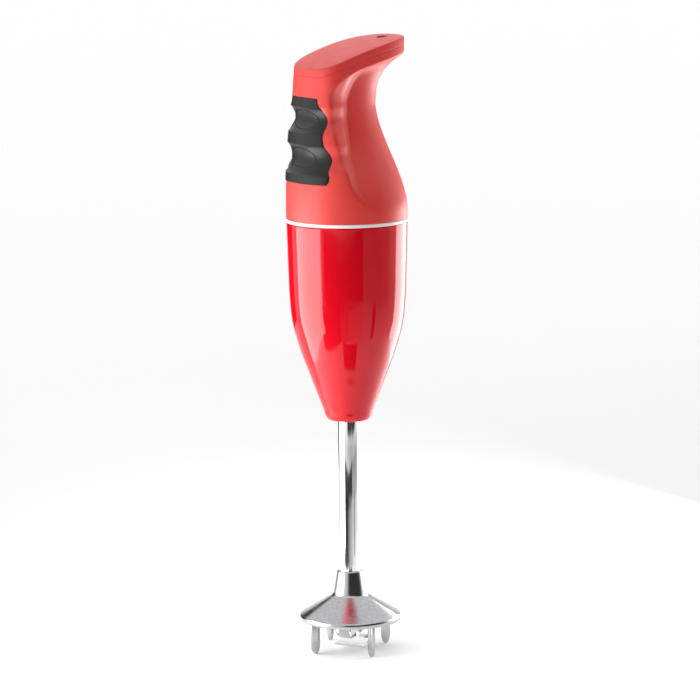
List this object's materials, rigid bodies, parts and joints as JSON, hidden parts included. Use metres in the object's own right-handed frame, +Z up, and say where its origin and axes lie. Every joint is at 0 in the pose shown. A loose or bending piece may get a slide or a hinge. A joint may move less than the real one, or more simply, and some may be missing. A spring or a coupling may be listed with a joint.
{
  "type": "immersion blender",
  "caption": "Hand-held immersion blender: beaked handle with finger-groove switch pad, tapered motor housing, thin stem and bell guard over a push-on blade.",
  "frame": {"origin": "on the stem axis, on the surface that the four guard prongs stand on", "axes": "+Z up along the stem axis, -Y towards the switch buttons, +X to the right-hand flank seen from the front"},
  "size_m": [0.0672, 0.0672, 0.3429],
  "materials": {
    "housing_red": "deep red, polished, clear gloss",
    "handle_red": "coral red, finely spark-eroded matte grain",
    "trim_white": "satin white",
    "pad_rubber": "charcoal rubber, satin",
    "stem_chrome": "polished",
    "guard_steel": "fine circular brushing, polished collar",
    "blade_steel": "ground and polished",
    "seal_rubber": "black nitrile rubber",
    "bush_bronze": "sintered bronze, oily",
    "frame_aluminium": "die cast, shot blasted",
    "shaft_steel": "ground steel",
    "core_iron": "stacked laminations, varnished",
    "winding_copper": "enamelled copper wire",
    "commutator_copper": "turned copper bars",
    "holder_brass": "folded brass",
    "brush_carbon": "pressed carbon, dull",
    "fan_plastic": "glass-filled nylon, black",
    "board_green": "solder-masked board",
    "capacitor_yellow": "lacquered case"
  },
  "bodies": {
    "housing": {"motor_housing": "housing_red", "handle_shell": "handle_red", "top_cover": "handle_red", "trim_ring": "trim_white", "switch_pad": "pad_rubber", "stem_tube": "stem_chrome", "guard": "guard_steel", "shaft_seal": "seal_rubber", "stem_seal_ring": "seal_rubber", "motor_mount_ring": "seal_rubber", "lower_mount_ring": "seal_rubber", "cord_gland": "seal_rubber", "lower_stem_bush": "bush_bronze", "upper_stem_bush": "bush_bronze", "stem_socket": "frame_aluminium", "motor_screws": "shaft_steel", "left_brush_spring": "shaft_steel", "right_brush_spring": "shaft_steel", "upper_button_spring": "shaft_steel", "lower_button_spring": "shaft_steel", "lower_bearing": "shaft_steel", "upper_bearing": "shaft_steel", "stator_core": "core_iron", "field_coils": "winding_copper", "left_brush_holder": "holder_brass", "right_brush_holder": "holder_brass", "lower_bracket": "frame_aluminium", "upper_bracket": "frame_aluminium", "switch_block": "fan_plastic", "circuit_board": "board_green", "suppression_capacitor": "capacitor_yellow"},
    "rotor": {"drive_shaft": "shaft_steel", "drive_pin": "shaft_steel", "drive_dog": "shaft_steel", "motor_shaft": "shaft_steel", "motor_dog": "shaft_steel", "coupling_sleeve": "seal_rubber", "armature_core": "core_iron", "armature_windings": "winding_copper", "commutator": "commutator_copper", "cooling_fan": "fan_plastic"},
    "blade": {"blade_hub": "blade_steel", "blade_cross": "blade_steel"},
    "upper_button": {"upper_button": "pad_rubber"},
    "lower_button": {"lower_button": "pad_rubber"},
    "left_brush": {"left_carbon_brush": "brush_carbon"},
    "right_brush": {"right_carbon_brush": "brush_carbon"}
  },
  "joints": [
    {"name": "rotor_spin", "type": "hinge", "parent": "housing", "child": "rotor", "pos_m": [0, 0, 0.1], "axis": [0, 0, 1], "continuous": true},
    {"name": "blade_pull", "type": "slide", "parent": "rotor", "child": "blade", "axis": [0, 0, -1], "range_m": [0, 0.03]},
    {"name": "upper_button_press", "type": "slide", "parent": "housing", "child": "upper_button", "axis": [0, 1, 0], "range_m": [0, 0.0012], "stiffness_N_per_m": 900, "springref_m": -0.001, "deforming": ["upper_button_spring"]},
    {"name": "lower_button_press", "type": "slide", "parent": "housing", "child": "lower_button", "axis": [0, 1, 0], "range_m": [0, 0.0012], "stiffness_N_per_m": 900, "springref_m": -0.001, "deforming": ["lower_button_spring"]},
    {"name": "left_brush_slide", "type": "slide", "parent": "housing", "child": "left_brush", "axis": [-1, 0, 0], "range_m": [0, 0.0025], "stiffness_N_per_m": 300, "springref_m": -0.002, "deforming": ["left_brush_spring"]},
    {"name": "right_brush_slide", "type": "slide", "parent": "housing", "child": "right_brush", "axis": [1, 0, 0], "range_m": [0, 0.0025], "stiffness_N_per_m": 300, "springref_m": -0.002, "deforming": ["right_brush_spring"]}
  ]
}
